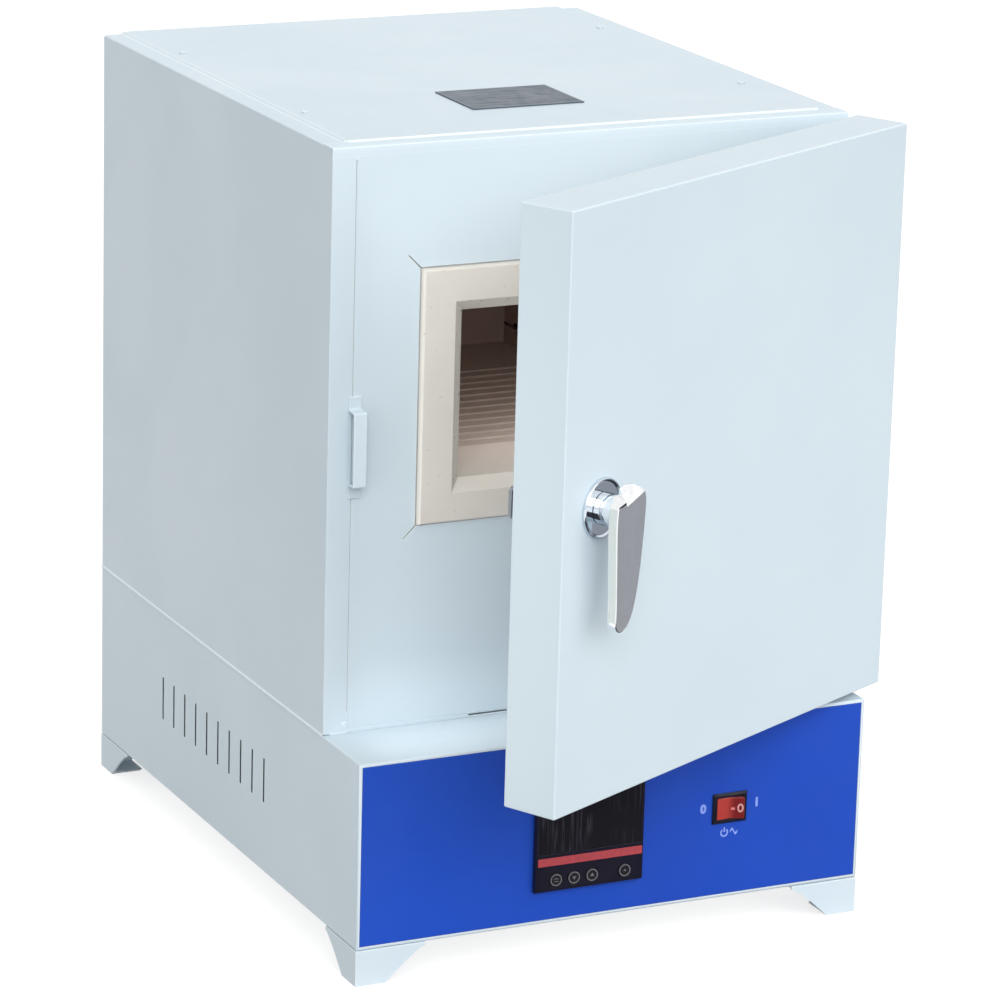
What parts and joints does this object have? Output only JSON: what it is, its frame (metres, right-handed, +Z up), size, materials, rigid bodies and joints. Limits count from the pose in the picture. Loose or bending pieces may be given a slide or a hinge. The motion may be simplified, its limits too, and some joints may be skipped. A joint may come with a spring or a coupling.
{
  "type": "electric pottery kiln",
  "caption": "Front-loading sheet-steel chamber kiln on a control base: swinging insulated door with turn latch, ceramic-lined mouth and chamber, temperature controller and rocker switch.",
  "frame": {"origin": "middle of the whole object's footprint at floor level, with the door ajar as in the picture", "axes": "+Z up, +Y from the door's side to the rear, +X to the right of someone facing the mouth"},
  "size_m": [0.471, 0.803, 0.6609],
  "materials": {
    "pale_paint": "satin",
    "blue_paint": "satin",
    "zinc_steel": "satin",
    "chrome_plate": "polished",
    "cream_ceramic": "matte",
    "fired_brick": "matte",
    "white_fibre": "matte",
    "heating_wire": "matte",
    "black_plastic": "satin",
    "dark_screen": "gloss",
    "grey_key": "satin",
    "red_rocker": "gloss",
    "plate_grey": "satin",
    "cast_alloy": "matte",
    "cream_plastic": "satin"
  },
  "bodies": {
    "cabinet": {"base_case": "pale_paint", "base_floor": "zinc_steel", "base_rear_cover": "pale_paint", "cable_gland": "black_plastic", "case_floor": "zinc_steel", "chamber": "fired_brick", "control_panel": "blue_paint", "controller_bezel": "black_plastic", "controller_case": "black_plastic", "controller_window": "dark_screen", "foot_front_left": "pale_paint", "foot_front_right": "pale_paint", "foot_rear_left": "pale_paint", "foot_rear_right": "pale_paint", "front_plate": "pale_paint", "hearth_plate": "fired_brick", "heater_left": "heating_wire", "heater_right": "heating_wire", "hinge_lower_case_half": "pale_paint", "hinge_lower_pin": "zinc_steel", "hinge_upper_case_half": "pale_paint", "hinge_upper_pin": "zinc_steel", "insulation_bottom": "white_fibre", "insulation_left": "white_fibre", "insulation_rear": "white_fibre", "insulation_right": "white_fibre", "insulation_top": "white_fibre", "keeper": "pale_paint", "left_side_panel": "pale_paint", "mouth_collar": "cream_ceramic", "name_plate": "plate_grey", "rear_panel": "pale_paint", "relay": "black_plastic", "right_side_panel": "pale_paint", "switch_frame": "black_plastic", "terminal_block": "cream_plastic", "thermocouple_head": "cast_alloy", "thermocouple_sheath": "cream_ceramic", "top_cover": "pale_paint", "top_cover_screw_1": "zinc_steel", "top_cover_screw_2": "zinc_steel", "top_cover_screw_3": "zinc_steel", "top_cover_screw_4": "zinc_steel"},
    "door": {"door_shell": "pale_paint", "door_back_plate": "zinc_steel", "door_insulation": "white_fibre", "door_plug": "cream_ceramic", "hinge_upper_door_half": "pale_paint", "hinge_lower_door_half": "pale_paint", "handle_rosette": "chrome_plate"},
    "handle": {"handle_lever": "chrome_plate", "handle_spindle": "zinc_steel", "latch_tongue": "zinc_steel", "latch_nut": "zinc_steel"},
    "rocker": {"switch_rocker": "red_rocker"},
    "key_1": {"controller_key_1": "grey_key"},
    "key_2": {"controller_key_2": "grey_key"},
    "key_3": {"controller_key_3": "grey_key"},
    "key_4": {"controller_key_4": "grey_key"}
  },
  "joints": [
    {"name": "door_hinge", "type": "hinge", "parent": "cabinet", "child": "door", "pos_m": [0.211, -0.13876, 0.425], "axis": [0, 0, 1], "range_deg": [-27, 93]},
    {"name": "handle_turn", "type": "hinge", "parent": "door", "child": "handle", "pos_m": [-0.11722, -0.36773, 0.426], "axis": [0.454, -0.891, 0], "range_deg": [0, 90]},
    {"name": "rocker_tilt", "type": "hinge", "parent": "cabinet", "child": "rocker", "pos_m": [0.0925, -0.20327, 0.1072], "axis": [0, 0, 1], "range_deg": [0, 16]},
    {"name": "key_1_press", "type": "slide", "parent": "cabinet", "child": "key_1", "axis": [0, 1, 0], "range_m": [0, 0.0008], "stiffness_N_per_m": 200, "springref_m": -0.0004},
    {"name": "key_2_press", "type": "slide", "parent": "cabinet", "child": "key_2", "axis": [0, 1, 0], "range_m": [0, 0.0008], "stiffness_N_per_m": 200, "springref_m": -0.0004},
    {"name": "key_3_press", "type": "slide", "parent": "cabinet", "child": "key_3", "axis": [0, 1, 0], "range_m": [0, 0.0008], "stiffness_N_per_m": 200, "springref_m": -0.0004},
    {"name": "key_4_press", "type": "slide", "parent": "cabinet", "child": "key_4", "axis": [0, 1, 0], "range_m": [0, 0.0008], "stiffness_N_per_m": 200, "springref_m": -0.0004}
  ]
}
